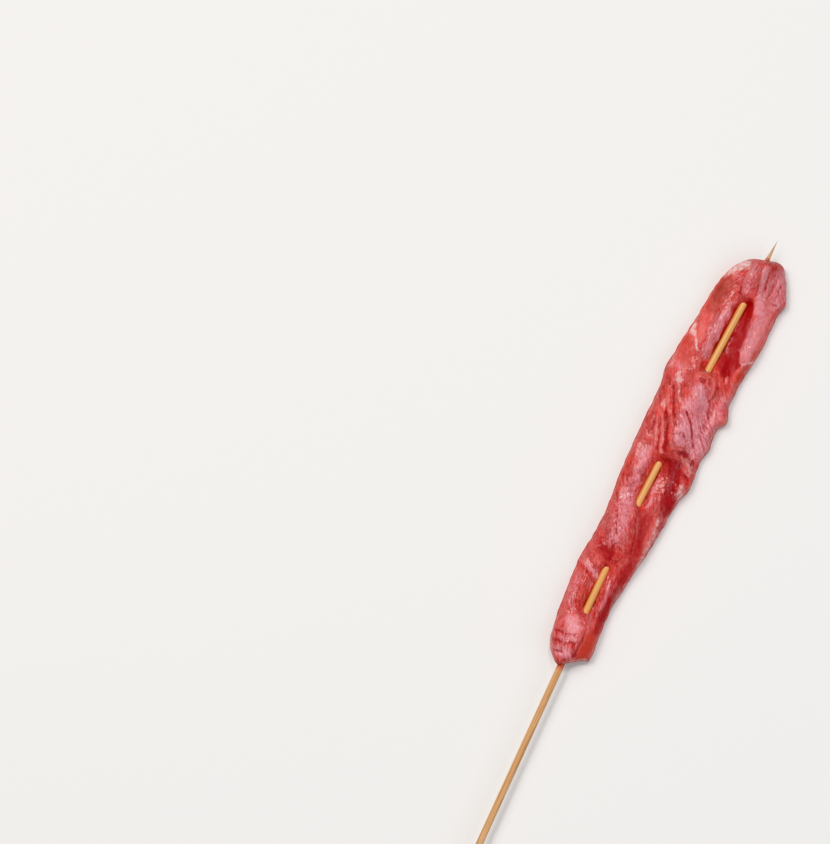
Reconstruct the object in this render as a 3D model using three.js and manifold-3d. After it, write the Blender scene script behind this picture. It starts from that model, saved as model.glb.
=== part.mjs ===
// A raw beef skewer lying on its back: one long slice of lean beef, threaded in running stitches on a
// thin bamboo stick. Millimetres, +Z up, +Y towards the point, +X to the right seen from above.
// A station is a distance from the stick's point, measured along -Y.
import * as THREE from "three";
import { mergeVertices } from "three/addons/utils/BufferGeometryUtils.js";
import Module from "manifold-3d";

// The stick: round split bamboo, whittled to a point, which the threading has sprung slightly sideways.
const STICK_LENGTH = 300;
const STICK_RADIUS = 1.25;
const POINT_LENGTH = 13;
const POINT_FULLNESS = 0.9; // under 1 the point swells outwards, at 1 it is a plain cone
const BUTT_CHAMFER = 0.2;
const STICK_SIDES = 12;
const STICK_STEPS = 22;
const STICK_HEIGHT = 5; // its axis above the table: the meat under it carries it
const BOW = { at: 112, reach: 36.7, lean: 0.01, spring: 0.035, back: 3.0 };

// The slice: flat lean beef, a little wider at the point's end, cut thick enough to hold a stitch.
const MEAT_THICKNESS = 5.9;
const CLEARANCE = 0.3; // between the stick and the meat that it pierces
const ACROSS_STEPS = 22;
const ALONG_STEPS = 84;

// Left and right edges of the slice as [station, x], and its two cut ends as [share across, station].
const LEFT_EDGE = [
  [20.4, -11.3], [34, -12.3], [47.6, -13.6], [56.1, -14.1], [61.2, -13], [74.8, -12.6], [91.8, -11.9],
  [108.8, -10.2], [117.3, -10.2], [125.8, -10.8], [136, -10.2], [150.3, -8.7],
];
const RIGHT_EDGE = [
  [18.9, 12.9], [23.2, 11.6], [36, 11.8], [49.3, 10.7], [58, 10.8], [63.5, 12.6], [66.8, 10.7],
  [74.4, 11.2], [79.6, 10.6], [88.1, 11.5], [95.5, 9.9], [110.7, 9], [125, 7.4], [139.4, 6.2], [157, 7.9],
];
const POINT_END = [
  [-1, 20.4], [-0.83, 14.6], [-0.55, 10.6], [-0.16, 8.7], [0.36, 7.4], [0.67, 11.2], [1, 18.9],
];
const HANDLE_END = [
  [-1, 150.3], [-0.87, 155.7], [-0.6, 159.5], [-0.16, 162.2], [0.16, 160.6], [0.66, 157.9], [1, 157],
];

// Where the stick shows on top. Between these windows it runs under the meat. Each window has two ends:
// a station, a skew in millimetres along for each one across, and the length over which the meat climbs.
const WINDOWS = [
  [{ at: 24.5, skew: 0, climb: 6.5 }, { at: 51, skew: 0.1, climb: 2.6 }],
  [{ at: 85, skew: -0.1, climb: 7.5 }, { at: 102.3, skew: 0.75, climb: 5.5 }],
  [{ at: 124.8, skew: -0.35, climb: 7 }, { at: 142.8, skew: 0.1, climb: 5 }],
];
const FLANK = { climb: 4.5, from: 1.2, out: 5.5 }; // further from the stick it climbs more slowly
const TROUGH = { depth: 1.4, width: 2.4 }; // pressed into the meat under the stick
const BANKS = { height: 0.9, out: 4.6, width: 2.2 }; // swollen up on both sides of a window
const ARCH = { height: 5.2, width: 5, foot: 0.3 }; // the hollow under a bridge, which the stick runs along
const SHOULDER = { height: 1.6, width: 8.5 }; // a bridge is thicker on both sides of its arch
const DRAWN = { thinner: 2.1, width: 5, over: 10 }; // the pull of the stitch thins the meat next to a lip
const SLACK = 0.3; // height of the soft, uneven swellings of raw meat

// The slice's edge is rounded more above than below, where it lies on the table.
const EDGE = { waist: 0.35, blunt: 0.08, topRadius: 3.4, bottomRadius: 1.8 };

const smooth = (t) => THREE.MathUtils.smoothstep(t, 0, 1);
const hump = (offset, width) => Math.exp(-((offset / width) ** 2));

// A smooth curve through [position, value] pairs, level beyond the first and the last.
function through(points, at) {
  const last = points.length - 1;
  if (at <= points[0][0]) return points[0][1];
  if (at >= points[last][0]) return points[last][1];
  const i = points.findIndex(([p]) => p > at) - 1;
  const [p0, v0] = points[i];
  const [p1, v1] = points[i + 1];
  const slope = (k) => {
    const [a, b] = [points[Math.max(k - 1, 0)], points[Math.min(k + 1, last)]];
    return (b[1] - a[1]) / (b[0] - a[0]);
  };
  const span = p1 - p0;
  const t = (at - p0) / span;
  const [t2, t3] = [t * t, t * t * t];
  return (
    v0 * (2 * t3 - 3 * t2 + 1) +
    slope(i) * span * (t3 - 2 * t2 + t) +
    v1 * (3 * t2 - 2 * t3) +
    slope(i + 1) * span * (t3 - t2)
  );
}

// Sideways place of the stick's axis: two nearly straight legs with a soft bend between them.
function bow(station) {
  const t = station - BOW.at;
  return BOW.lean * t + BOW.spring * Math.hypot(t, BOW.reach) - BOW.back;
}

// 1 where the meat bridges over the stick, 0 inside a window.
function bridging(station, off) {
  const slower = FLANK.climb * smooth((Math.abs(off) - FLANK.from) / (FLANK.out - FLANK.from));
  const nearOff = THREE.MathUtils.clamp(off, -3, 3);
  const inside = WINDOWS.map(([start, end]) => {
    const into = (station - start.at - start.skew * nearOff) / (start.climb + slower);
    const outOf = (end.at + end.skew * nearOff - station) / (end.climb + slower);
    return smooth(0.5 + into) * smooth(0.5 + outOf);
  });
  return 1 - Math.max(...inside);
}

// 1 at a window, falling to 0 along the bridge beside it.
function drawn(station) {
  const away = WINDOWS.map(([start, end]) => Math.max(start.at - station, station - end.at, 0));
  return 1 - smooth(Math.min(...away) / DRAWN.over);
}

// Swellings a few millimetres across.
function slack(x, station) {
  return SLACK * (Math.sin(station / 3.9 + x / 2.7) + Math.sin(station / 2.6 - x / 3.4 + 1.7));
}

// 0 at the slice's outline, 1 from one radius inwards, along a quarter circle.
function rounding(distance, radius) {
  const short = 1 - THREE.MathUtils.clamp(distance / radius, 0, 1);
  return Math.sqrt(1 - short * short);
}

// Puts a corner of a flat 2 x 1 x 2 block where it belongs on the slice.
function ontoSlice(corner) {
  const u = (corner.x + Math.sin((corner.x * Math.PI) / 2)) / 2;
  const [first, final] = [through(POINT_END, u), through(HANDLE_END, u)];
  const station = THREE.MathUtils.lerp(first, final, 0.5 - corner.y);
  const [left, right] = [through(LEFT_EDGE, station), through(RIGHT_EDGE, station)];
  const half = (right - left) / 2;
  const x = (left + right) / 2 + u * half;

  const off = x - bow(station);
  const bridge = bridging(station, off);
  const under = bridge * Math.max(0, ARCH.height * hump(off, ARCH.width) - ARCH.foot);
  const banks = BANKS.height * hump(Math.abs(off) - BANKS.out, BANKS.width);
  const pressed = TROUGH.depth * hump(off, TROUGH.width) - banks;
  const shoulder = SHOULDER.height * (hump(off, SHOULDER.width) - hump(off, ARCH.width));
  const thinned = DRAWN.thinner * drawn(station) * hump(off, DRAWN.width);
  const bridged = bridge * (shoulder - thinned) - (1 - bridge) * pressed;
  const thickness = MEAT_THICKNESS + slack(x, station) + bridged;

  const inwards = [half * (1 - Math.abs(u)), station - first, final - station];
  const full = (radius) => inwards.reduce((all, d) => all * rounding(d, radius), 1);
  const top = EDGE.waist + EDGE.blunt + (1 - EDGE.waist - EDGE.blunt) * full(EDGE.topRadius);
  const bottom = (EDGE.waist - EDGE.blunt) * (1 - full(EDGE.bottomRadius));
  corner.set(x, STICK_LENGTH / 2 - station, under + thickness * (corner.z > 0 ? top : bottom));
}

// Moves every corner of a geometry with a function.
function reshape(geometry, move) {
  const place = geometry.getAttribute("position");
  const corner = new THREE.Vector3();
  for (let i = 0; i < place.count; i++) {
    corner.fromBufferAttribute(place, i);
    move(corner);
    place.setXYZ(i, corner.x, corner.y, corner.z);
  }
  geometry.computeVertexNormals();
  return geometry;
}

// The stick, or with a gap the channel that it makes in the meat.
function stickGeometry(gap) {
  const radius = STICK_RADIUS + gap;
  const profile = [[0, STICK_LENGTH + gap], [radius - BUTT_CHAMFER, STICK_LENGTH + gap]];
  for (let i = 0; i <= STICK_STEPS; i++) {
    const station = THREE.MathUtils.lerp(STICK_LENGTH + gap - BUTT_CHAMFER, POINT_LENGTH, i / STICK_STEPS);
    profile.push([radius, station]);
  }
  for (const share of [0.75, 0.5, 0.25, 0.08])
    profile.push([STICK_RADIUS * share ** POINT_FULLNESS + gap, POINT_LENGTH * share]);
  profile.push([0, -3 * gap]);
  const points = profile.map(([r, station]) => new THREE.Vector2(r, STICK_LENGTH / 2 - station));
  return reshape(new THREE.LatheGeometry(points, STICK_SIDES), (corner) => {
    corner.x += bow(STICK_LENGTH / 2 - corner.y);
    corner.z += STICK_HEIGHT;
  });
}

function sliceGeometry() {
  return reshape(new THREE.BoxGeometry(2, 1, 2, ACROSS_STEPS, ALONG_STEPS, 1), ontoSlice);
}

const wasm = await Module();
wasm.setup();

// A closed geometry as a solid that can be cut.
function solidOf(geometry) {
  geometry.deleteAttribute("normal");
  geometry.deleteAttribute("uv");
  const merged = mergeVertices(geometry);
  return new wasm.Manifold(new wasm.Mesh({
    numProp: 3,
    vertProperties: new Float32Array(merged.attributes.position.array),
    triVerts: new Uint32Array(merged.index.array),
  }));
}

function geometryOf(solid) {
  const mesh = solid.getMesh();
  const geometry = new THREE.BufferGeometry();
  geometry.setAttribute("position", new THREE.BufferAttribute(mesh.vertProperties, 3));
  geometry.setIndex(new THREE.BufferAttribute(mesh.triVerts, 1));
  geometry.computeVertexNormals();
  return geometry;
}

// The slice with the stick's channel cut through it: a groove in each window and under each bridge.
function beefStrip() {
  const pierced = solidOf(sliceGeometry()).subtract(solidOf(stickGeometry(CLEARANCE)));
  const raw = new THREE.MeshStandardMaterial({ color: 0xc4434a, roughness: 0.35, metalness: 0 });
  const mesh = new THREE.Mesh(geometryOf(pierced), raw);
  mesh.name = "beef_strip";
  return mesh;
}

function bambooStick() {
  const bamboo = new THREE.MeshStandardMaterial({ color: 0xd9a35c, roughness: 0.6, metalness: 0 });
  const mesh = new THREE.Mesh(stickGeometry(0), bamboo);
  mesh.name = "bamboo_stick";
  return mesh;
}

const skewer = new THREE.Group();
skewer.add(beefStrip(), bambooStick());
// The origin is on the table under the middle of the skewer's box.
const middle = new THREE.Box3().setFromObject(skewer, true).getCenter(new THREE.Vector3());
skewer.position.set(-middle.x, -middle.y, 0);

export default skewer;
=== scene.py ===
"""A raw beef skewer: one long slice of lean beef, threaded in running stitches on a thin bamboo stick.

It lies on its back on a pale table, and the camera looks down on it. Sizes of the skewer are in
millimetres, and those of the table and the lights in metres. On the skewer, a station is a distance from
the stick's point, measured along -Y, and x is a distance to the right of that point.
"""

import math

import bmesh
import bpy
import numpy as np
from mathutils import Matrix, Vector, noise


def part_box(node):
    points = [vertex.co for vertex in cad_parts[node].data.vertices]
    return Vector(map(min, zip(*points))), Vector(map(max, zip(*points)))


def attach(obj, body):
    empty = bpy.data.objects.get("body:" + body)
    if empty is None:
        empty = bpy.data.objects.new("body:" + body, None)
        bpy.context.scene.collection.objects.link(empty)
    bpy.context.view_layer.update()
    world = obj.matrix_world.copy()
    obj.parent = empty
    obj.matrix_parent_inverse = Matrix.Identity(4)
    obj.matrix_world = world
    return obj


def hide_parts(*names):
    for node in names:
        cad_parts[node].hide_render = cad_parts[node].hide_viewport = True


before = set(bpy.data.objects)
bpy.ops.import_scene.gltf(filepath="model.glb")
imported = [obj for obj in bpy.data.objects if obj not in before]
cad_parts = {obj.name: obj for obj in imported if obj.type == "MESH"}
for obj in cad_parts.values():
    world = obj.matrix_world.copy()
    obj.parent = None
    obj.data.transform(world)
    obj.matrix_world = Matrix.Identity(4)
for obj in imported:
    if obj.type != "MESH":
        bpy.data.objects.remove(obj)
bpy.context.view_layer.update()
MM = 0.001

# ---------------------------------------------------------------------------------- Camera
# It looks straight down from well above, so that both ends of the skewer show at one scale. It is
# turned so that the skewer leans to the right, with its point at the upper right and its handle
# running out at the bottom.
SKEWER_LEAN = math.radians(26.94)
FIELD_WIDTH = 282.2 * MM  # of the table, from the left of the picture to the right
FIELD_CENTRE = Vector((-81.4, 38.9, 5)) * MM

camera = bpy.data.objects.new("camera", bpy.data.cameras.new("camera"))
bpy.context.scene.collection.objects.link(camera)
bpy.context.scene.camera = camera
camera.data.sensor_fit = "HORIZONTAL"
camera.data.sensor_width = 36
camera.data.lens = 180
camera.location = FIELD_CENTRE
camera.location.z += FIELD_WIDTH * camera.data.lens / camera.data.sensor_width
camera.rotation_euler.z = SKEWER_LEAN
camera.data.clip_end = 20

# ---------------------------------------------------------------------------------- Table and light
# A matt pale table, and the plain soft light of a food studio: a large softbox at the upper left, a
# weaker one opposite, and a small one that puts sharp glints on the wet meat.
TABLE_SIZE = 6.0
TABLE_TONE = (0.8, 0.79, 0.775, 1)

table = bmesh.new()
bmesh.ops.create_grid(table, x_segments=4, y_segments=4, size=TABLE_SIZE / 2)
table_mesh = bpy.data.meshes.new("table")
table.to_mesh(table_mesh)
table.free()
table_top = bpy.data.objects.new("table", table_mesh)
bpy.context.scene.collection.objects.link(table_top)
table_paint = bpy.data.materials.new("table_paint")
table_paint.use_nodes = True
table_paint.node_tree.nodes["Principled BSDF"].inputs["Base Color"].default_value = TABLE_TONE
table_paint.node_tree.nodes["Principled BSDF"].inputs["Roughness"].default_value = 0.85
table_mesh.materials.append(table_paint)


def softbox(name, bearing, height, distance, size, watts, tone):
    """Adds a square softbox that faces the skewer. Its bearing, from the picture's right, and its height
    above the table are in degrees."""
    lamp = bpy.data.objects.new(name, bpy.data.lights.new(name, "AREA"))
    bpy.context.scene.collection.objects.link(lamp)
    lamp.data.size = size
    lamp.data.energy = watts
    lamp.data.color = tone
    turn, rise = math.radians(bearing) + SKEWER_LEAN, math.radians(height)
    towards = Vector((math.cos(turn) * math.cos(rise), math.sin(turn) * math.cos(rise), math.sin(rise)))
    lamp.location = towards * distance
    lamp.rotation_euler = towards.to_track_quat("Z", "Y").to_euler()
    lamp.visible_camera = False


softbox("key_softbox", 135, 56, 1.3, 0.6, 14.5, (1.0, 0.97, 0.94))
softbox("fill_softbox", -35, 45, 1.6, 1.2, 11, (0.95, 0.97, 1.0))
softbox("glint_light", 75, 66, 1.2, 0.16, 3.5, (1.0, 0.99, 0.97))

world = bpy.data.worlds.new("studio")
world.use_nodes = True
world.node_tree.nodes["Background"].inputs["Color"].default_value = (0.93, 0.95, 1.0, 1)
world.node_tree.nodes["Background"].inputs["Strength"].default_value = 0.22
bpy.context.scene.world = world
bpy.context.scene.view_settings.view_transform = "Khronos PBR Neutral"

# ---------------------------------------------------------------------------------- The bamboo stick
# A round stick of split bamboo, 300 mm long and 2.5 mm thick, whittled to a long point, with a sawn butt.
# It carries the meat, which has sprung it slightly sideways and stains it where they touch.
STICK_LENGTH = 300
STICK_RADIUS = 1.25
STICK_HEIGHT = 5
POINT_LENGTH = 13
POINT_FULLNESS = 0.9
BUTT_CHAMFER = 0.2
STICK_SIDES = 36
SHAFT_RINGS, POINT_RINGS = 150, 40
CANE_FULLNESS = 0.975  # split cane is uneven: this is its mean share of the nominal thickness
MEAT_FROM, MEAT_TO = 8, 162  # the stations between which the stick runs through the meat
# The bow bends over BOW_REACH on both sides of BOW_AT. Its legs lean by BOW_LEAN plus or minus BOW_SPRING,
# and BOW_BACK brings the stick's point to x = 0.
BOW_AT, BOW_REACH, BOW_LEAN, BOW_SPRING, BOW_BACK = 112, 36.7, 0.01, 0.035, 3.0


def smoothed(low, high, value):
    """0 below low, 1 above high, with a soft slope between."""
    share = np.clip((value - low) / (high - low), 0, 1)
    return share * share * (3 - 2 * share)


def hump(offset, width):
    """1 in the middle, fading to 0 on both sides."""
    return np.exp(-((offset / width) ** 2))


def rippled(*coordinates):
    """Soft noise from -1 to 1, with ripples about one unit wide."""
    return np.array([noise.noise(point) for point in zip(*coordinates)])


def sprung(station):
    """Sideways place of the stick's axis: two nearly straight legs with a soft bend between them."""
    beyond = station - BOW_AT
    return BOW_LEAN * beyond + BOW_SPRING * np.hypot(beyond, BOW_REACH) - BOW_BACK


# The frame is centred on its box, and the stick's point isn't: this is the step between the two.
each_half_millimetre = np.linspace(0, STICK_LENGTH, 2 * STICK_LENGTH + 1)
leftmost = sprung(each_half_millimetre).min() - STICK_RADIUS
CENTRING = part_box("bamboo_stick")[0].x / MM - leftmost


def mesh_points(mesh):
    """Places of a mesh's vertices, one row each."""
    places = np.empty(len(mesh.vertices) * 3)
    mesh.vertices.foreach_get("co", places)
    return places.reshape(-1, 3)


def set_out(mesh, x, station, z):
    """Moves a mesh's vertices to their places in the frame, given in millimetres."""
    places = np.stack([x + CENTRING, STICK_LENGTH / 2 - station, z], axis=1) * MM
    mesh.vertices.foreach_set("co", places.ravel())
    mesh.update()


def note(mesh, name, values):
    """Keeps one number, or one vector, for each vertex, for the materials to read."""
    kind, field = ("FLOAT_VECTOR", "vector") if values.ndim == 2 else ("FLOAT", "value")
    layer = mesh.attributes.new(name, kind, "POINT")
    layer.data.foreach_set(field, np.ascontiguousarray(values, dtype=np.float32).ravel())


rod = bmesh.new()
bmesh.ops.create_cone(rod, cap_ends=True, segments=STICK_SIDES, radius1=1, radius2=1, depth=1)
lengthwise = [edge for edge in rod.edges if abs(edge.verts[0].co.z - edge.verts[1].co.z) > 0.5]
bmesh.ops.subdivide_edges(rod, edges=lengthwise, cuts=SHAFT_RINGS + POINT_RINGS - 1)
rod.normal_update()
stick_mesh = bpy.data.meshes.new("bamboo_skewer")
rod.to_mesh(stick_mesh)
rod.free()

# Rings are evenly spread from the butt to the whittled part, and on it they are closer together.
round_x, round_z, along = mesh_points(stick_mesh).T
ring = np.rint((along + 0.5) * (SHAFT_RINGS + POINT_RINGS))
along_shaft = np.clip(ring / SHAFT_RINGS, 0, 1)
along_point = np.clip((ring - SHAFT_RINGS) / POINT_RINGS, 0, 1)
station = STICK_LENGTH + (POINT_LENGTH - STICK_LENGTH) * along_shaft - POINT_LENGTH * along_point
taper = np.clip(station / POINT_LENGTH, 0.004, 1) ** POINT_FULLNESS
taper -= BUTT_CHAMFER / STICK_RADIUS * (ring == 0)
uneven = 0.03 * rippled(2.2 * round_x, 2.2 * round_z, station / 45)
uneven += 0.02 * rippled(5 * round_x, 5 * round_z, station / 14)
whittled = 0.05 * (1 - smoothed(POINT_LENGTH * 0.6, POINT_LENGTH * 1.2, station))
uneven += whittled * rippled(1.5 * round_x, 1.5 * round_z, station / 6 + 7)
radius = STICK_RADIUS * taper * (CANE_FULLNESS + uneven)
set_out(stick_mesh, round_x * radius + sprung(station), station, round_z * radius + STICK_HEIGHT)
stick_mesh.shade_smooth()
note(stick_mesh, "grain", np.stack([round_x, round_z, station], axis=1))
soaked = smoothed(MEAT_FROM - 1.5, MEAT_FROM + 4, station) * (1 - smoothed(MEAT_TO, MEAT_TO + 5, station))
note(stick_mesh, "soaked", soaked)
note(stick_mesh, "weathered", 1 - smoothed(2, 12, station))
note(stick_mesh, "bloody", hump(station - MEAT_TO, 2.6) + hump(station - MEAT_FROM, 1.2))


def node(tree, kind, **sockets):
    """Adds a node. A socket is given by its name, or by its place as _0 or _1, and is set to a value or
    to the output that feeds it."""
    made = tree.nodes.new(kind)
    for name, value in sockets.items():
        into = made.inputs[int(name[1:]) if name[0] == "_" else name.replace("_", " ")]
        if isinstance(value, bpy.types.NodeSocket):
            tree.links.new(value, into)
        else:
            into.default_value = value
    return made


def read(tree, name, output="Fac"):
    """Reads back what note() kept."""
    attribute = tree.nodes.new("ShaderNodeAttribute")
    attribute.attribute_name = name
    return attribute.outputs[output]


def maths(tree, operation, *values):
    """One arithmetic step."""
    step = node(tree, "ShaderNodeMath", **{f"_{order}": value for order, value in enumerate(values)})
    step.operation = operation
    return step.outputs[0]


def ranged(tree, value, from_low, from_high, to_low=0.0, to_high=1.0):
    """A soft step from to_low to to_high, as value goes from from_low to from_high."""
    step = node(tree, "ShaderNodeMapRange", Value=value, From_Min=from_low, From_Max=from_high,
                To_Min=to_low, To_Max=to_high)
    step.interpolation_type = "SMOOTHSTEP"
    return step.outputs["Result"]


def tinted(tree, share, base, tint):
    """Base with tint laid over it, as much as share says."""
    mix = tree.nodes.new("ShaderNodeMix")
    mix.data_type = "RGBA"
    # A mix of colours takes its share at input 0 and the colours at 6 and 7, and gives output 2.
    for order, value in ((0, share), (6, base), (7, tint)):
        if isinstance(value, bpy.types.NodeSocket):
            tree.links.new(value, mix.inputs[order])
        else:
            mix.inputs[order].default_value = (*value, 1) if isinstance(value, tuple) else value
    return mix.outputs[2]


# Fibres: streaks that run along the third coordinate, used by the bamboo's grain and the meat's muscle.
fibres = bpy.data.node_groups.new("fibres", "ShaderNodeTree")
fibres.interface.new_socket("Grain", in_out="INPUT", socket_type="NodeSocketVector")
fibres.interface.new_socket("Width", in_out="INPUT", socket_type="NodeSocketFloat")
fibres.interface.new_socket("Length", in_out="INPUT", socket_type="NodeSocketFloat")
fibres.interface.new_socket("Streaks", in_out="OUTPUT", socket_type="NodeSocketFloat")
fibres_in = fibres.nodes.new("NodeGroupInput").outputs
across_and_along = node(fibres, "ShaderNodeCombineXYZ", X=fibres_in["Width"], Y=fibres_in["Width"],
                        Z=fibres_in["Length"])
stretched = node(fibres, "ShaderNodeVectorMath", _0=fibres_in["Grain"], _1=across_and_along.outputs[0])
stretched.operation = "DIVIDE"
streaks = node(fibres, "ShaderNodeTexNoise", Vector=stretched.outputs[0], Scale=1.0, Detail=3.0,
               Roughness=0.55, Distortion=0.25)
node(fibres, "NodeGroupOutput", Streaks=streaks.outputs["Fac"])


def streaked(tree, grain, width, length):
    """Streaks from the fibres group, at one width and length."""
    group = tree.nodes.new("ShaderNodeGroup")
    group.node_tree = fibres
    tree.links.new(grain, group.inputs["Grain"])
    group.inputs["Width"].default_value = width
    group.inputs["Length"].default_value = length
    return group.outputs["Streaks"]


# Pale cane with a tan grain and fine dark vessels. It is yellower where juice has soaked it, grey at the
# tip, and red where it enters and leaves the meat.
bamboo = bpy.data.materials.new("bamboo")
bamboo.use_nodes = True
wood = bamboo.node_tree
wood_shader = wood.nodes["Principled BSDF"]
grain = read(wood, "grain", "Vector")
broad_grain = streaked(wood, grain, 0.55, 40.0)
fine_grain = streaked(wood, grain, 0.16, 16.0)
dark_vessels = ranged(wood, streaked(wood, grain, 0.13, 11.0), 0.53, 0.67)
pale_cane, tan_cane = (0.62, 0.37, 0.18), (0.48, 0.24, 0.095)
soaked_cane, vessel_brown, grey_tip = (0.66, 0.295, 0.072), (0.24, 0.1, 0.035), (0.34, 0.24, 0.165)
blood_red = (0.42, 0.05, 0.025)
colour = tinted(wood, ranged(wood, broad_grain, 0.35, 0.68), pale_cane, tan_cane)
colour = tinted(wood, maths(wood, "MULTIPLY", read(wood, "soaked"), 0.75), colour, soaked_cane)
colour = tinted(wood, ranged(wood, fine_grain, 0.42, 0.66, 0.0, 0.45), colour, tan_cane)
dry_contrast = ranged(wood, read(wood, "soaked"), 0.0, 1.0, 0.85, 0.45)
colour = tinted(wood, maths(wood, "MULTIPLY", dark_vessels, dry_contrast), colour, vessel_brown)
colour = tinted(wood, maths(wood, "MULTIPLY", read(wood, "weathered"), 0.6), colour, grey_tip)
blotted = maths(wood, "ADD", read(wood, "bloody"), maths(wood, "MULTIPLY", fine_grain, 0.5))
colour = tinted(wood, ranged(wood, blotted, 0.55, 1.15, 0.0, 0.9), colour, blood_red)
wood.links.new(colour, wood_shader.inputs["Base Color"])
dampness = maths(wood, "MAXIMUM", read(wood, "soaked"), read(wood, "bloody"))
wood.links.new(ranged(wood, dampness, 0.0, 1.0, 0.55, 0.36), wood_shader.inputs["Roughness"])
cane_bump = node(wood, "ShaderNodeBump", Strength=0.6, Distance=0.06 * MM, Height=fine_grain)
wood.links.new(cane_bump.outputs[0], wood_shader.inputs["Normal"])

stick = bpy.data.objects.new("bamboo_skewer", stick_mesh)
bpy.context.scene.collection.objects.link(stick)
stick_mesh.materials.append(bamboo)
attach(stick, "root")
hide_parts("bamboo_stick")

# ---------------------------------------------------------------------------------- The slice of beef
# One slice of raw lean beef, cut along the muscle and about 6 mm thick. The stick holds it like a needle:
# the meat bridges the stick at both ends and twice between, and in the three windows the stick lies on
# top, pressed into it. Pale silverskin and threads of fat cross it; part of their paleness is painted
# sheen and painted highlights.
LEFT_EDGE = [
    (20.4, -11.3), (34, -12.3), (47.6, -13.6), (56.1, -14.1), (61.2, -13), (74.8, -12.6),
    (91.8, -11.9), (108.8, -10.2), (117.3, -10.2), (125.8, -10.8), (136, -10.2), (150.3, -8.7),
]
RIGHT_EDGE = [
    (18.9, 12.9), (23.2, 11.6), (36, 11.8), (49.3, 10.7), (58, 10.8), (63.5, 12.6), (66.8, 10.7),
    (74.4, 11.2), (79.6, 10.6), (88.1, 11.5), (95.5, 9.9), (110.7, 9), (125, 7.4), (139.4, 6.2), (157, 7.9),
]
POINT_END = [
    (-1, 20.4), (-0.83, 14.6), (-0.55, 10.6), (-0.16, 8.7), (0.36, 7.4), (0.67, 11.2), (1, 18.9),
]
HANDLE_END = [
    (-1, 150.3), (-0.87, 155.7), (-0.6, 159.5), (-0.16, 162.2), (0.16, 160.6), (0.66, 157.9), (1, 157),
]
# Both ends of each window: its station, its skew (millimetres along for each one across) and the length
# over which the meat climbs.
WINDOWS = [
    ((24.5, 0.0, 6.5), (51, 0.1, 2.6)),
    ((85, -0.1, 7.5), (102.3, 0.75, 5.5)),
    ((124.8, -0.35, 7.0), (142.8, 0.1, 5.0)),
]
THICKNESS = 5.9
SKEW_REACH = 3  # a window's end runs on at its skew up to this far from the stick
FLANK_CLIMB, FLANK_FROM, FLANK_OUT = 4.5, 1.2, 5.5  # away from the stick it climbs more slowly
TROUGH_DEPTH, TROUGH_WIDTH = 1.4, 2.4  # pressed into the meat under the stick
BANK_HEIGHT, BANK_OUT, BANK_WIDTH = 0.9, 4.6, 2.2  # swollen up on both sides of a window
ARCH_HEIGHT, ARCH_WIDTH, ARCH_FOOT = 5.2, 5, 0.3  # the hollow under a bridge
SHOULDER, SHOULDER_WIDTH = 1.6, 8.5  # a bridge is thicker on both sides of its arch
THINNED, THINNED_WIDTH, THINNED_OVER = 2.1, 5, 10  # and drawn thin next to a window
SLACK = 0.3  # the soft swellings of raw meat
WAIST, BLUNT = 0.35, 0.08  # where the edge is widest, and half its upright part, as shares of thickness
TOP_ROUNDING, BOTTOM_ROUNDING = 3.4, 1.8
WALL_BULGE, RAGGEDNESS = 0.35, 0.28  # of the cut edge
LUMP_RELIEF, BUNDLE_RELIEF, STRAND_RELIEF, GRAIN_RELIEF = 0.14, 0.34, 0.24, 0.16  # the finer relief
HOOD_APEX, HOOD_END = 2, 24  # over the point's end the fibres draw together
COLUMNS, ROWS, WALL_CUTS = 92, 470, 2
RIM_COLUMNS, RIM_ROWS = 15, 15  # as many of them crowd together on each rounded edge

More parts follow.
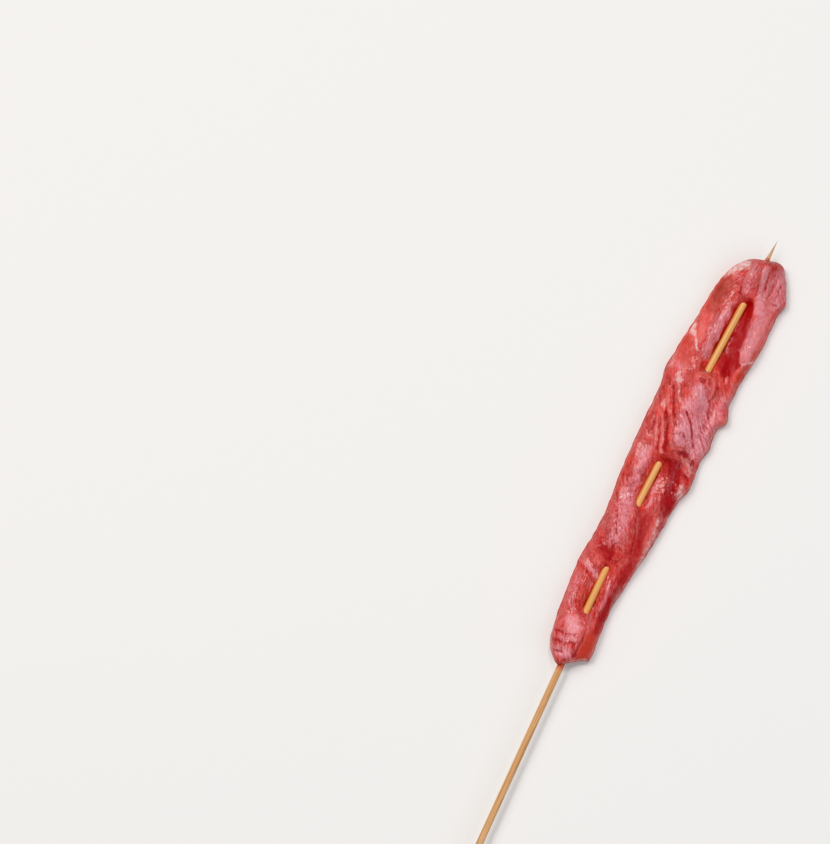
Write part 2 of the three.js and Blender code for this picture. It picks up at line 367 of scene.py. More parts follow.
# Ridges (height above 0) and creases (below 0): a route of (x, station), its half width, and its height.
FOLDS = [
    # the hood over the point's end, gathered towards the stick
    ([(0.5, 10.5), (1.6, 15), (3.0, 20.6)], 0.9, 0.45),
    ([(2, 11.5), (3.3, 16), (4.5, 20.5)], 0.35, -0.3),
    ([(-0.5, 11), (0.1, 15), (1.5, 20.8)], 0.3, -0.3),
    ([(-4.2, 14.5), (-3.2, 18.5), (-2.2, 21.5)], 1.1, 0.5),
    ([(-4.9, 14.5), (-4.3, 18.5), (-3.4, 22.5)], 0.35, -0.3),
    ([(-2.5, 12), (-1.2, 20.5)], 0.3, -0.2),
    ([(4.3, 13.5), (4.8, 19)], 1.0, 0.2),
    ([(5.9, 11.5), (6.2, 15), (6, 20)], 0.3, -0.25),
    ([(7, 12), (7.2, 19)], 0.7, 0.25),
    ([(8, 12.5), (8.4, 19)], 0.3, -0.2),
    ([(10, 14), (10.6, 20)], 0.6, 0.25),
    ([(-9, 16.5), (-6.4, 13)], 1.3, 0.25),
    ([(3.2, 21.6), (6.5, 21.2), (10, 20)], 0.35, -0.25),
    # beside the first window
    ([(1.6, 25), (2.4, 31), (3.1, 37), (4, 43), (4.8, 48)], 1.8, -1.05),
    ([(5, 22.5), (7.6, 28), (9, 34), (9, 40)], 3.0, 0.55),
    ([(5.4, 40.5), (7.2, 45), (9, 42.4)], 0.4, -0.4),
    ([(8.2, 43.2), (10, 41.6), (11.6, 41)], 0.4, 0.25),
    ([(9, 44.5), (8.2, 47.5), (8.7, 51), (9.2, 56)], 0.8, 0.4),
    ([(5.2, 47.5), (6.4, 51.5)], 0.5, 0.3),
    ([(-4.6, 27), (-3.8, 30)], 1.0, 0.4),
    ([(-4.6, 33), (-4, 38), (-4, 44)], 1.8, 0.3),
    ([(-6.8, 30), (-7.2, 37), (-6.2, 44)], 0.9, -0.15),
    ([(-12.6, 38), (-10.6, 41.5), (-8, 45.8)], 0.5, 0.3),
    ([(-9.4, 47), (-6.4, 51), (-3, 54)], 0.8, 0.35),
    # the little roll under which the stick dives, and the knobs beside it
    ([(-2.7, 52.3), (-0.6, 51.7), (1.5, 52.2)], 0.9, 0.9),
    ([(-2.2, 54.4), (-0.4, 53.8), (1.6, 54.4)], 0.55, -0.3),
    ([(2.5, 53), (3.3, 55.5), (3.7, 58.5)], 0.6, 0.5),
    ([(3.6, 59.5), (4.8, 57), (4.2, 54.5)], 0.45, -0.3),
    # the first long bridge, pulled slantwise
    ([(-9.6, 57)], 1.2, 0.3),
    ([(-8.6, 58.5), (-5.6, 63.8), (-3, 67)], 0.45, 0.5),
    ([(-9.4, 60.5), (-6.4, 66.5), (-4.2, 70)], 0.35, -0.4),
    ([(-10.8, 61), (-8, 67), (-5.8, 71)], 0.5, 0.35),
    ([(-1.8, 66.5), (1.6, 69.4), (4.4, 73.5), (6.2, 76)], 0.3, -0.4),
    ([(1.6, 63.8), (4.6, 67.8), (7.4, 72.6)], 0.25, -0.3),
    ([(1.2, 55.8), (4.2, 60), (6.2, 65)], 0.35, -0.3),
    ([(0.8, 73), (3.8, 77)], 0.25, -0.25),
    ([(7.6, 66), (9.6, 70)], 0.25, -0.2),
    ([(-0.4, 58.5), (1.2, 63), (3.8, 68)], 1.4, 0.3),
    ([(-7.4, 70), (-5.4, 74), (-3.6, 78), (-2.2, 81.5)], 0.8, -0.5),
    ([(-7.4, 72.5), (-5, 78), (-3, 82.8)], 0.45, 0.5),
    ([(-8.6, 72), (-6.4, 77.5), (-4.6, 82)], 0.35, -0.4),
    ([(-9.8, 71.5), (-7.6, 77), (-6, 81)], 0.45, 0.45),
    ([(-10.8, 71), (-8.8, 77)], 0.3, -0.35),
    ([(-5.2, 70), (-3.4, 74), (-1.6, 78)], 0.4, 0.4),
    ([(7, 60), (8.2, 64), (8.4, 70)], 0.8, 0.3),
    ([(11.4, 63.8)], 1.6, 0.9),
    ([(0.4, 79.4), (3, 78.8), (5.6, 80.6), (8, 83)], 0.5, 0.3),
    ([(3.6, 79.6), (5.4, 79.2)], 0.8, -0.55),
    ([(8.2, 80.8), (8.8, 82)], 0.7, -0.45),
    ([(8, 88), (9.2, 91), (9.6, 95)], 1.0, 0.45),
    ([(5.4, 84.5), (9.6, 86.6)], 0.4, -0.3),
    # beside the second window
    ([(0.7, 91), (1.3, 96), (1.6, 101)], 0.6, 0.35),
    ([(2.9, 89.6), (4.6, 94.6)], 0.4, 0.35),
    ([(5, 89), (7.2, 96.5)], 0.35, -0.35),
    ([(4, 96), (5.8, 102)], 0.4, 0.3),
    # the second long bridge
    ([(-4.6, 107.5), (-1.6, 113), (0.4, 117.5)], 0.35, 0.3),
    ([(-0.6, 106.5), (2, 112.5), (3.4, 117)], 0.35, -0.3),
    ([(-3.4, 109), (-0.8, 115)], 0.3, -0.25),
    ([(-6.8, 108), (-4, 114)], 0.3, -0.25),
    ([(6.6, 105), (7.3, 111), (7.4, 117)], 0.7, 0.25),
    # beside the third window
    ([(-9.4, 126.9), (-6, 128.5), (-2.6, 130.3)], 0.9, 0.35),
    ([(-9.4, 129), (-3, 132.4)], 0.35, -0.25),
    ([(1.7, 132), (2.9, 136), (3.1, 141)], 0.8, 0.4),
    ([(4.2, 135), (5.4, 139)], 0.35, -0.3),
    # the handle's end, wrinkled across
    ([(-3.8, 148.3)], 2.8, 0.45),
    ([(-7.6, 152.2), (-4.6, 151.9), (-1, 150.9)], 0.4, -0.35),
    ([(-6.8, 155.6), (-3.4, 155), (0.4, 153.4)], 0.4, -0.32),
    ([(-5.6, 158.6), (-3, 158.1)], 0.3, -0.25),
    ([(1.6, 147.5), (2.2, 153), (1.8, 157.6)], 0.5, -0.3),
]

# Patches of other colour, partly painted light and shade: a route of (x, station), its half width, and how
# strong it is in the middle.
# Fat: threads and spots of fat, and some thin pale lines and spots that are painted highlights on wet
# ridges.
FAT_AND_HIGHLIGHTS = [
    ([(-10.6, 17.6), (-8.8, 15), (-6, 12)], 1.6, 0.95),
    ([(3.4, 21.2), (5.4, 20.6)], 0.4, 0.5),
    ([(11.6, 15), (12.6, 18.5)], 0.8, 0.5),
    ([(-12.8, 38), (-11.8, 41)], 1.0, 0.9),
    ([(-11.6, 40.5), (-9.6, 43), (-7.6, 46)], 0.55, 0.8),
    ([(8.2, 43.4), (10, 41.6), (12, 41)], 0.4, 0.75),
    ([(-2.5, 51.3), (-0.6, 50.8), (1.3, 51.2)], 0.35, 0.5),
    ([(-9.8, 56), (-8.6, 58)], 1.2, 0.7),
    ([(-7.5, 59.5), (-5.4, 63.5), (-3.2, 66.6)], 0.45, 0.4),
    ([(-5.8, 75), (-4.3, 79), (-2.5, 82.8)], 0.5, 0.45),
    ([(-8.8, 72), (-7, 78.5)], 0.4, 0.35),
    ([(6.6, 80.6), (9, 84)], 2.0, 0.4),
    ([(8.8, 90), (9.6, 93.5)], 1.3, 0.65),
    ([(7, 104), (8, 110), (7.8, 117)], 1.0, 0.5),
    ([(8.2, 117), (7.5, 125), (7, 130), (6.4, 137)], 0.4, 0.7),
    ([(2, 159.6), (4.2, 158.5), (7, 157)], 0.6, 0.6),
    ([(-13.8, 49), (-13, 55)], 0.9, 0.5),
]
# Silverskin: the pale film's own colour, and partly a painted sheen where the wet film catches the soft
# light.
SILVERSKIN_AND_SHEEN = [
    ([(0.4, 10.5), (1.6, 15), (3.2, 20.6)], 1.2, 1.0),
    ([(6.4, 11), (8.2, 15), (9, 20)], 3.0, 0.7),
    ([(4, 13), (4.9, 19)], 0.8, 0.6),
    ([(-3.2, 12), (-2.2, 20)], 2.2, 0.62),
    ([(-7, 16), (-6, 18)], 1.4, 0.4),
    ([(4.4, 22.8), (7, 26), (7.6, 31), (7.8, 36), (8, 41)], 3.2, 0.74),
    ([(-4.4, 26.5), (-4, 30)], 1.3, 0.7),
    ([(-5.2, 33), (-4.6, 38), (-4.8, 45)], 2.6, 0.75),
    ([(-1, 57.5), (1.6, 61), (4, 66), (5, 72), (7, 77)], 3.0, 0.95),
    ([(2, 73), (9.6, 75.5)], 3.2, 0.9),
    ([(8.4, 58), (8.8, 70)], 2.6, 0.6),
    ([(-2.4, 64), (-1.4, 69), (0.6, 76)], 2.3, 0.85),
    ([(-10.4, 53), (-8.8, 57.6)], 1.8, 0.5),
    ([(-8, 84), (-6.6, 92), (-6.8, 100)], 2.6, 0.7),
    ([(-8.8, 127.2), (-6.2, 128.5), (-3.2, 130)], 0.9, 0.95),
    ([(-8.4, 132), (-7.2, 142)], 2.2, 0.5),
    ([(0.4, 91.5), (1, 96), (1.3, 101.5)], 0.6, 0.8),
    ([(-5.4, 103), (-4.6, 109), (-3.6, 116)], 3.4, 0.7),
    ([(1.8, 131), (2.9, 136), (3.1, 141)], 0.9, 0.8),
    ([(-4, 147.6), (-2.6, 149)], 2.8, 0.9),
    ([(-4.6, 153.6), (0, 152.4)], 1.3, 0.7),
    ([(-3.4, 157.8), (-0.6, 157.8)], 2.4, 0.85),
    ([(0.4, 143), (2.6, 148)], 1.6, 0.4),
]
# Deep red: partly the muscle's own darker red, and partly painted shade in creases, in the mouths where the
# stick dives, beside the stick and along the valley of the first window.
DEEP_RED_AND_SHADE = [
    ([(-1.4, 23.4), (0, 22.8), (1.4, 23.8)], 0.9, 0.3),
    ([(1, 25), (1.8, 30), (2.2, 36), (2.4, 42), (2.8, 47)], 1.9, 0.85),
    ([(3, 30), (3.8, 36), (4.5, 42), (4.8, 48)], 1.5, 0.7),
    ([(-11.4, 45), (-10.6, 51)], 2.6, 0.3),
    ([(-1.9, 26), (-2.3, 34), (-2.4, 44)], 0.7, 0.8),
    ([(-7.4, 28), (-7.2, 36)], 1.2, 0.4),
    ([(-1.8, 54.2), (1.2, 54.2)], 0.6, 0.2),
    ([(-1.8, 66.5), (1.6, 69.4), (4.4, 73.5)], 0.35, 0.5),
    ([(-8, 68.5), (-5.4, 74), (-3.6, 78), (-1.8, 81.5)], 0.7, 0.5),
    ([(-1.4, 83.6), (1, 84)], 1.3, 0.45),
    ([(3.8, 79.4), (8.4, 81.2)], 0.8, 0.85),
    ([(3.4, 85), (6, 90), (7.4, 99)], 2.8, 0.9),
    ([(2.2, 84), (8, 86)], 1.4, 0.3),
    ([(2, 104), (4.4, 112), (4.8, 122), (4.8, 140)], 2.6, 0.62),
    ([(-6.4, 120.4), (-3.4, 121.8)], 2.7, 0.66),
    ([(-3, 118.6), (-2.2, 122.6)], 0.7, 0.5),
    ([(-1.8, 125), (-1.9, 141)], 0.6, 0.6),
    ([(4.4, 141), (5.2, 147)], 1.5, 0.6),
]
RUST = [
    ([(0, 9.6)], 1.2, 0.7),
    ([(1.2, 22.8), (1.8, 26), (2.6, 30)], 1.1, 0.85),
    ([(11.6, 38.6)], 1.9, 1.0),
    ([(11, 44), (9.9, 47.6)], 1.8, 1.0),
    ([(-12, 43), (-10.4, 50)], 2.4, 0.4),
    ([(-2.3, 52.4), (-0.6, 51.9), (1.1, 52.4)], 0.8, 0.5),
    ([(11.6, 63.8)], 1.5, 0.5),
    ([(-11.6, 62), (-11.4, 70)], 1.0, 0.4),
    ([(-10.9, 88), (-10.8, 96), (-10.2, 104)], 1.3, 0.45),
    ([(-8.4, 130), (-6.4, 134), (-6, 140)], 1.6, 0.5),
    ([(4.6, 149), (5, 157)], 3.4, 0.72),
    ([(0.2, 161.2)], 1.1, 0.9),
]
# Browned: partly the meat's own brownish red, and partly painted shade that darkens the hood, the lobe right
# of the first window and that window's left side.
BROWNED_AND_SHADED = [
    ([(-8.9, 20), (-9.6, 25.5)], 3.3, 0.8),
    ([(-9.6, 24), (-9.2, 31)], 2.4, 0.75),
    ([(-3.6, 12), (1, 16), (6, 19)], 3.2, 0.45),
    ([(7, 24), (8.6, 32), (8.2, 41)], 3.4, 0.46),
    ([(-5.4, 32), (-5, 45)], 2.6, 0.36),
    ([(-10.6, 44), (-8.6, 52)], 2.8, 0.36),
]

# Where juice stands on the surface in small beads, which also carry a painted highlight.
BEADED = [
    ([(-7.4, 104), (-4.2, 111), (-2.2, 118)], 3.4, 1.0),
    ([(-0.6, 104), (2, 112)], 1.4, 0.7),
    ([(4.4, 88), (6, 94), (5, 101)], 2.6, 0.9),
    ([(2.4, 134), (3, 140)], 1.6, 0.8),
    ([(-8.6, 84), (-6, 96)], 2.6, 0.7),
    ([(-6.8, 132), (-5.4, 141)], 2.4, 0.6),
    ([(-3, 156), (0, 159)], 2.2, 0.9),
]

# Where the surface is stretched smooth, and shows neither fibres nor pores.
SLEEK = [
    ([(-9, 18), (-9.2, 30)], 3.0, 0.72),
    ([(-9.2, 30), (-9, 40)], 2.4, 0.7),
    ([(5, 23), (8.4, 29), (9, 40)], 3.2, 0.55),
    ([(1.6, 25), (3, 36), (4.2, 47)], 2.3, 0.9),
    ([(-11, 42), (-10, 53)], 2.8, 0.85),
    ([(-9.6, 70), (-5, 78)], 2.4, 0.5),
    ([(2.6, 104), (4.8, 112), (5, 124)], 2.6, 0.8),
    ([(-6.6, 121.8), (-2, 123)], 2.2, 0.6),
    ([(-4, 146.6), (-3.2, 149.2)], 2.2, 0.7),
    ([(4.8, 146), (4.4, 156)], 2.8, 0.6),
]

# The fibres' lean from the stick's direction, in degrees, as (station, lean), and how they fan out.
FIBRE_LEAN = [
    (20, 4), (34, 8), (46, 20), (56, 34), (80, 34), (90, 22), (104, 30), (118, 30), (130, 16), (144, 26),
]
FIBRE_FAN = [(30, 0.0), (56, -0.016), (80, -0.016), (92, 0.0)]


def through(points, at):
    """A smooth curve through (position, value) pairs, level beyond the first and the last."""
    where, value = np.array(points, float).T
    last = len(where) - 1
    before, after = np.maximum(np.arange(last + 1) - 1, 0), np.minimum(np.arange(last + 1) + 1, last)
    slope = (value[after] - value[before]) / (where[after] - where[before])
    i = np.clip(np.searchsorted(where, at, "right") - 1, 0, last - 1)
    span = where[i + 1] - where[i]
    t = np.clip((at - where[i]) / span, 0, 1)
    return (value[i] * (2 * t**3 - 3 * t**2 + 1) + slope[i] * span * (t**3 - 2 * t**2 + t)
            + value[i + 1] * (3 * t**2 - 2 * t**3) + slope[i + 1] * span * (t**3 - t**2))


def bundled(*coordinates):
    """Bundles with creases between them: from -0.5 in a crease to 0.5 along the middle of a bundle."""
    nearest = np.array([noise.voronoi(point)[0][:2] for point in zip(*coordinates)])
    return smoothed(0, 0.6, nearest[:, 1] - nearest[:, 0]) - 0.5


def near(route, width, x, station):
    """1 on a route of points, fading to 0 over its width on every side."""
    away = np.full(len(x), np.inf)
    for (x0, s0), (x1, s1) in zip(route, route[1:] or route):
        run, rise = x1 - x0, s1 - s0
        share = np.clip(((x - x0) * run + (station - s0) * rise) / max(run**2 + rise**2, 1e-9), 0, 1)
        away = np.minimum(away, np.hypot(x - x0 - share * run, station - s0 - share * rise))
    return hump(away, width)


def covered(patches, x, station):
    """How much a list of patches covers each place: 0 where none reaches, and up to 1."""
    bare = np.ones(len(x))
    for route, width, strength in patches:
        bare = bare * (1 - strength * near(route, width, x, station))
    return 1 - bare


def rimmed(place, rim_share, half, radius):
    """Distance in from the edge, of lines that crowd together where the edge is rounded."""
    inwards = 1 - np.abs(place)
    turn = np.clip(inwards / rim_share, 0, 1) * math.pi / 2
    flat = np.clip((inwards - rim_share) / (1 - rim_share), 0, 1)
    return radius * (1 - np.cos(turn)) + flat * (half - radius)


def quarter_round(distance, radius):
    """0 at the outline, 1 from one radius inwards."""
    return np.sqrt(1 - (1 - np.clip(distance / radius, 0, 1)) ** 2)


slab = bmesh.new()
bmesh.ops.create_grid(slab, x_segments=COLUMNS, y_segments=ROWS, size=1)
lower = bmesh.ops.extrude_face_region(slab, geom=slab.faces[:])
underside = [item for item in lower["geom"] if isinstance(item, bmesh.types.BMVert)]
bmesh.ops.translate(slab, vec=(0, 0, -1), verts=underside)
uprights = [edge for edge in slab.edges if abs(edge.verts[0].co.z - edge.verts[1].co.z) > 0.5]
bmesh.ops.subdivide_edges(slab, edges=uprights, cuts=WALL_CUTS, use_grid_fill=True)
bmesh.ops.recalc_face_normals(slab, faces=slab.faces)
meat_mesh = bpy.data.meshes.new("beef_slice")
slab.to_mesh(meat_mesh)
slab.free()

# Where each vertex is on the slice: x and station from above, and level from 0 underneath to 1 on top.
# Its station depends on its share across, as the ends are curved, and the share on the slice's width at
# that station, so the two are found in a few rounds.
across, lengthways, level = mesh_points(meat_mesh).T
level += 1
share = across
for _ in range(3):
    first, final = through(POINT_END, share), through(HANDLE_END, share)
    from_end = rimmed(lengthways, 2 * RIM_ROWS / ROWS, (final - first) / 2, TOP_ROUNDING)
    station = np.where(lengthways > 0, first + from_end, final - from_end)
    left, right = through(LEFT_EDGE, station), through(RIGHT_EDGE, station)
    half_width = (right - left) / 2
    from_side = rimmed(across, 2 * RIM_COLUMNS / COLUMNS, half_width, TOP_ROUNDING)
    share = np.sign(across) * (1 - from_side / half_width)
x = (left + right) / 2 + share * half_width

# The running stitches: at the end of each window the meat climbs over the stick, slower at its flanks.
off = x - sprung(station)
near_off = np.clip(off, -SKEW_REACH, SKEW_REACH)
slower = FLANK_CLIMB * smoothed(FLANK_FROM, FLANK_OUT, np.abs(off))
opened = []
for (start, start_skew, start_climb), (end, end_skew, end_climb) in WINDOWS:
    into = (station - start - start_skew * near_off) / (start_climb + slower)
    out_of = (end + end_skew * near_off - station) / (end_climb + slower)
    opened.append(smoothed(-0.5, 0.5, into) * smoothed(-0.5, 0.5, out_of))
bridge = 1 - np.max(opened, axis=0)
outside = [np.maximum(start[0] - station, station - end[0]) for start, end in WINDOWS]
from_window = np.maximum(np.min(outside, axis=0), 0)
thinned = THINNED * (1 - smoothed(0, THINNED_OVER, from_window)) * hump(off, THINNED_WIDTH)
pressed = TROUGH_DEPTH * hump(off, TROUGH_WIDTH) - BANK_HEIGHT * hump(np.abs(off) - BANK_OUT, BANK_WIDTH)
slack = SLACK * (np.sin(station / 3.9 + x / 2.7) + np.sin(station / 2.6 - x / 3.4 + 1.7))
arch = bridge * np.maximum(0, ARCH_HEIGHT * hump(off, ARCH_WIDTH) - ARCH_FOOT)
shoulder = SHOULDER * (hump(off, SHOULDER_WIDTH) - hump(off, ARCH_WIDTH))
thickness = THICKNESS + slack + bridge * (shoulder - thinned) - (1 - bridge) * pressed

# The muscle's fibres: coordinates across and along them.
DRIFT_STEP = 0.5
stations = np.arange(0, 170, DRIFT_STEP)
drift = np.cumsum(np.tan(np.radians(through(FIBRE_LEAN, stations)))) * DRIFT_STEP
in_hood = (HOOD_END - HOOD_APEX) / np.maximum(station - HOOD_APEX, 3)
gathered = np.where(station < HOOD_END, in_hood, 1.0)
fibre_across = (x - np.interp(station, stations, drift) + through(FIBRE_FAN, station) * x**2) * gathered
fibre_across += 0.9 * rippled(x / 6, station / 9, level)
fibre_along = station + 0.4 * x

# The relief of the top: folds, bundles of fibres with creases between them, and small soft lumps.
# Nothing on it runs quite straight, so routes are met at places that wander: folds a little, and
# the borders of patches more. Where the meat is sleek, only the folds and lumps are left.
astray_x = rippled(x / 2.4, station / 2.4, level + 20)
astray_station = rippled(x / 2.4, station / 2.4, level + 31)
wander_x, wander_station = x + 0.7 * astray_x, station + 0.9 * astray_station
fold_x, fold_station = x + 0.3 * astray_x, station + 0.4 * astray_station
folds = sum(height * near(route, width, fold_x, fold_station) for route, width, height in FOLDS)
sleek = covered(SLEEK, wander_x, wander_station)
lively = (1 - sleek) * (0.65 + 0.35 * rippled(x / 6, station / 8, level + 3))
wavering = 0.6 * rippled(x / 1.6, station / 1.6, level + 12)
bundles = bundled(fibre_across / 1.3 + wavering * 0.4, fibre_along / 10, level * 3)
strands = bundled(fibre_across / 0.8 + wavering * 0.7, fibre_along / 4.5, level * 3 + 9)
lumps = rippled(x / 2.6, station / 2.6, level + 5)
grains = rippled(x / 0.95, station / 0.95, level + 8)
fibrous = BUNDLE_RELIEF * bundles + STRAND_RELIEF * strands + GRAIN_RELIEF * grains
relief = folds + LUMP_RELIEF * lumps + lively * fibrous

# Distance from the outline: an end that runs slantwise is nearer than it is along the stick.
SLOPE_STEP = 0.01
slopes = []
for end in (POINT_END, HANDLE_END):
    ahead, behind = through(end, share + SLOPE_STEP), through(end, share - SLOPE_STEP)
    slopes.append((ahead - behind) / (2 * SLOPE_STEP))
end_slope = np.where(lengthways > 0, *slopes) / half_width
squareness = 1 / np.hypot(1, end_slope)
inwards = np.minimum(from_side, from_end * squareness)
full_top = quarter_round(inwards, TOP_ROUNDING)
full_bottom = quarter_round(inwards, BOTTOM_ROUNDING)
top = thickness * (WAIST + BLUNT + (1 - WAIST - BLUNT) * full_top) + relief * (0.3 + 0.7 * full_top)
bottom = thickness * (WAIST - BLUNT) * (1 - full_bottom)
height = arch + bottom + (top - bottom) * level

# A cut edge is never quite straight, and its wall bulges, though less and less towards a corner.
ragged = RAGGEDNESS * rippled(station / 2.6, level * 0.8, np.sign(across) * 5) * (1 - full_top)
x = x + ragged * np.sign(across)
bulge = WALL_BULGE * (1 - (2 * level - 1) ** 2)
on_side, on_end = from_side < 1e-6, from_end < 1e-6
x = x + bulge * np.sign(across) * on_side * smoothed(0, 4, from_end)
station = station + bulge * squareness * np.sign(-lengthways) * on_end * smoothed(0, 2, from_side)
set_out(meat_mesh, x, station, height)
meat_mesh.shade_smooth()

# What the material reads: the fibres' coordinates, how hollow the relief is (for painted shade in its
# hollows), how much a place is on the upper side, and how much of each kind of patch lies there.
note(meat_mesh, "fibre", np.stack([fibre_across, height, fibre_along], axis=1))
# The creases between bundles count as hollows too, for the painted shade.
cracks = -lively * (0.5 * bundles + 0.3 * strands)
note(meat_mesh, "hollow", np.clip(-relief + 0.25 * np.maximum(cracks, 0), -1, 1.5))
note(meat_mesh, "sleek", sleek)
note(meat_mesh, "upper", smoothed(0.0, 0.4, full_top) * level)
for name, patches in (("fat_and_highlights", FAT_AND_HIGHLIGHTS), ("silverskin_and_sheen", SILVERSKIN_AND_SHEEN), ("deep_red_and_shade", DEEP_RED_AND_SHADE), ("rust", RUST),
                      ("browned_and_shaded", BROWNED_AND_SHADED), ("beaded", BEADED)):
    note(meat_mesh, name, covered(patches, wander_x, wander_station))

# Raw beef: red muscle with paler threads along its fibres, patches of other colour, and a wet gloss.
raw_beef = bpy.data.materials.new("raw_beef")
raw_beef.use_nodes = True
flesh = raw_beef.node_tree
flesh_shader = flesh.nodes["Principled BSDF"]
place = flesh.nodes.new("ShaderNodeTexCoord").outputs["Object"]
fibre = read(flesh, "fibre", "Vector")
bundle = streaked(flesh, fibre, 0.9, 6.0)
thread = streaked(flesh, fibre, 0.4, 2.4)
cloud = node(flesh, "ShaderNodeTexNoise", Vector=place, Scale=220.0, Detail=3.0).outputs["Fac"]
fleck = node(flesh, "ShaderNodeTexNoise", Vector=place, Scale=900.0, Detail=2.0).outputs["Fac"]

lean_red, lean_pink, dark_red = (0.55, 0.056, 0.05), (0.71, 0.165, 0.15), (0.3, 0.012, 0.014)
silver_red, silver_pink, silver_white = (0.56, 0.11, 0.125), (0.69, 0.25, 0.28), (0.76, 0.38, 0.43)
fat_pink, fat_cream, rust_red = (0.7, 0.33, 0.3), (0.75, 0.58, 0.57), (0.5, 0.046, 0.022)
brown_red = (0.26, 0.033, 0.02)

# Pores: a net of fine dark lines with paler cells, drawn out a little along the fibres.
cells = node(flesh, "ShaderNodeVectorMath", _0=fibre, _1=(0.55, 0.55, 1.5))
cells.operation = "DIVIDE"
bent = node(flesh, "ShaderNodeTexNoise", Vector=cells.outputs[0], Scale=0.9, Detail=2.0)
bent_cells = node(flesh, "ShaderNodeVectorMath", _0=cells.outputs[0], _1=bent.outputs["Color"])
bent_cells.operation = "ADD"
pore_net = node(flesh, "ShaderNodeTexVoronoi", Vector=bent_cells.outputs[0], Scale=1.0)
pore_net.feature = "DISTANCE_TO_EDGE"
textured = maths(flesh, "SUBTRACT", 1.0, read(flesh, "sleek"))
cell_body = ranged(flesh, pore_net.outputs["Distance"], 0.0, 0.28)
pores = maths(flesh, "MULTIPLY", maths(flesh, "SUBTRACT", 1.0, cell_body), textured)
pores = maths(flesh, "MULTIPLY", pores, ranged(flesh, cloud, 0.38, 0.6, 0.15, 1.0))

# The muscle's own colour: paler streaks along the fibres, then the pores and hair-thin dark lines.
streaky = maths(flesh, "ADD", maths(flesh, "MULTIPLY", bundle, 0.55), maths(flesh, "MULTIPLY", cloud, 0.45))
colour = tinted(flesh, ranged(flesh, streaky, 0.36, 0.66), lean_red, lean_pink)
colour = tinted(flesh, ranged(flesh, thread, 0.5, 0.72, 0.0, 0.6), colour, lean_pink)
colour = tinted(flesh, maths(flesh, "MULTIPLY", pores, 0.5), colour, dark_red)
hair_line = ranged(flesh, streaked(flesh, fibre, 0.24, 4.0), 0.46, 0.34)
hair_line = maths(flesh, "MULTIPLY", hair_line, textured)
colour = tinted(flesh, maths(flesh, "MULTIPLY", hair_line, 0.6), colour, dark_red)


def patch(name, broken_up, low, high, most):
    """How much of a patch's colour shows, with its borders broken up along the fibres."""
    broken = maths(flesh, "ADD", maths(flesh, "SUBTRACT", thread, 0.5), maths(flesh, "SUBTRACT", fleck, 0.5))
    strength = maths(flesh, "MULTIPLY_ADD", broken, broken_up, read(flesh, name))
    fading = maths(flesh, "MULTIPLY", strength, read(flesh, "upper"))
    return ranged(flesh, fading, low, high, 0.0, most)


# What lies over it, from the lowest to the topmost: paler ridges, the pink film of silverskin and its
# painted sheen, rust, browned and deep red areas that are partly painted shade, painted shade in the
# hollows, beads of juice with a painted highlight, and fat with some painted highlights.
hollow = read(flesh, "hollow")
colour = tinted(flesh, ranged(flesh, hollow, 0.0, -0.35, 0.0, 0.45), colour, lean_pink)
film = tinted(flesh, ranged(flesh, thread, 0.4, 0.62), silver_pink, silver_white)
film = tinted(flesh, maths(flesh, "MULTIPLY", pores, 0.85), film, silver_red)
film = tinted(flesh, maths(flesh, "MULTIPLY", hair_line, 0.5), film, silver_red)
# The silverskin patches, partly a painted sheen.
colour = tinted(flesh, patch("silverskin_and_sheen", 0.8, 0.1, 0.9, 0.95), colour, film)
colour = tinted(flesh, patch("rust", 0.55, 0.0, 1.0, 0.9), colour, rust_red)
# Browned, partly painted shade.
colour = tinted(flesh, patch("browned_and_shaded", 0.6, 0.0, 1.15, 0.9), colour, brown_red)
# Deep red, partly painted shade in creases and mouths.
colour = tinted(flesh, patch("deep_red_and_shade", 0.4, 0.05, 0.8, 0.95), colour, dark_red)
# Painted shade: the hollows and creases of the relief are darkened.
colour = tinted(flesh, ranged(flesh, hollow, 0.06, 0.45, 0.0, 0.8), colour, dark_red)
fat_and_highlights = tinted(flesh, ranged(flesh, fleck, 0.4, 0.58), fat_pink, fat_cream)
drops = node(flesh, "ShaderNodeTexVoronoi", Vector=place, Scale=560.0)
bead = ranged(flesh, drops.outputs["Distance"], 0.4, 0.12)
bead = maths(flesh, "MULTIPLY", bead, ranged(flesh, drops.outputs["Color"], 0.35, 0.5))
bead = maths(flesh, "MULTIPLY", bead, read(flesh, "beaded"))
# Painted highlight: the beads are tinted pale pink.
colour = tinted(flesh, maths(flesh, "MULTIPLY", bead, 0.4), colour, silver_pink)
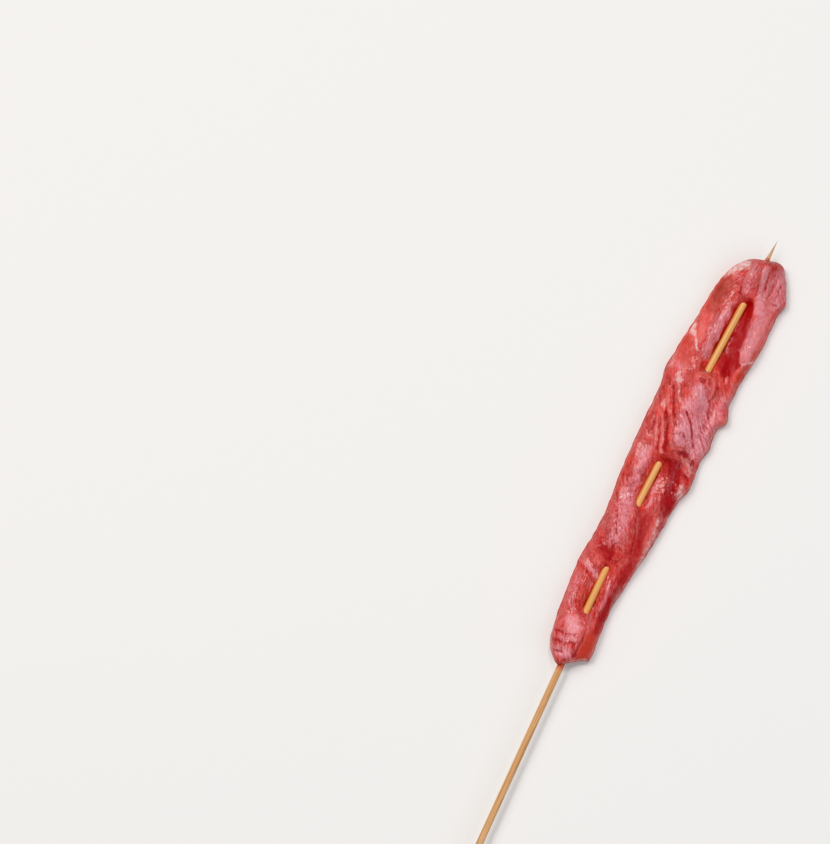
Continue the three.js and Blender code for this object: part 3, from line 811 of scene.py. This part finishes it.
# Fat, and painted highlights along some ridges.
colour = tinted(flesh, patch("fat_and_highlights", 0.8, 0.1, 1.0, 0.85), colour, fat_and_highlights)
flesh.links.new(colour, flesh_shader.inputs["Base Color"])

# Juice lies on the meat as a thin clear coat, in patches and on the beads. Sleek places are duller.
wetness = maths(flesh, "MULTIPLY", ranged(flesh, cloud, 0.38, 0.58), ranged(flesh, textured, 0.2, 1.0))
dulled = maths(flesh, "MULTIPLY_ADD", textured, -0.1, 0.1)
roughness = maths(flesh, "ADD", ranged(flesh, thread, 0.3, 0.7, 0.5, 0.38), dulled)
flesh.links.new(roughness, flesh_shader.inputs["Roughness"])
coat = maths(flesh, "MULTIPLY_ADD", bead, 0.6, maths(flesh, "MULTIPLY", wetness, 0.5))
flesh.links.new(coat, flesh_shader.inputs["Coat Weight"])
flesh_shader.inputs["Coat Roughness"].default_value = 0.13
flesh_shader.inputs["Specular IOR Level"].default_value = 0.3
flesh_shader.inputs["Specular Tint"].default_value = (1.0, 0.78, 0.8, 1)
flesh_shader.inputs["Subsurface Weight"].default_value = 0.2
flesh_shader.inputs["Subsurface Radius"].default_value = (1.0, 0.3, 0.22)
flesh_shader.inputs["Subsurface Scale"].default_value = 1.2 * MM

# The finest relief: threads and flecks stand up, pores and hair lines lie lower, and beads stand proud.
muscle = maths(flesh, "MULTIPLY_ADD", thread, 0.6, maths(flesh, "MULTIPLY", fleck, 0.35))
muscle = maths(flesh, "MULTIPLY", muscle, maths(flesh, "MULTIPLY_ADD", textured, 0.7, 0.3))
muscle = maths(flesh, "MULTIPLY_ADD", pores, -0.25, muscle)
muscle = maths(flesh, "MULTIPLY_ADD", hair_line, -0.3, muscle)
muscle = maths(flesh, "MULTIPLY_ADD", bead, 1.1, muscle)
muscle_bump = node(flesh, "ShaderNodeBump", Strength=1.0, Distance=0.3 * MM, Height=muscle)
flesh.links.new(muscle_bump.outputs[0], flesh_shader.inputs["Normal"])

meat = bpy.data.objects.new("beef_slice", meat_mesh)
bpy.context.scene.collection.objects.link(meat)
meat_mesh.materials.append(raw_beef)
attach(meat, "root")
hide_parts("beef_strip")
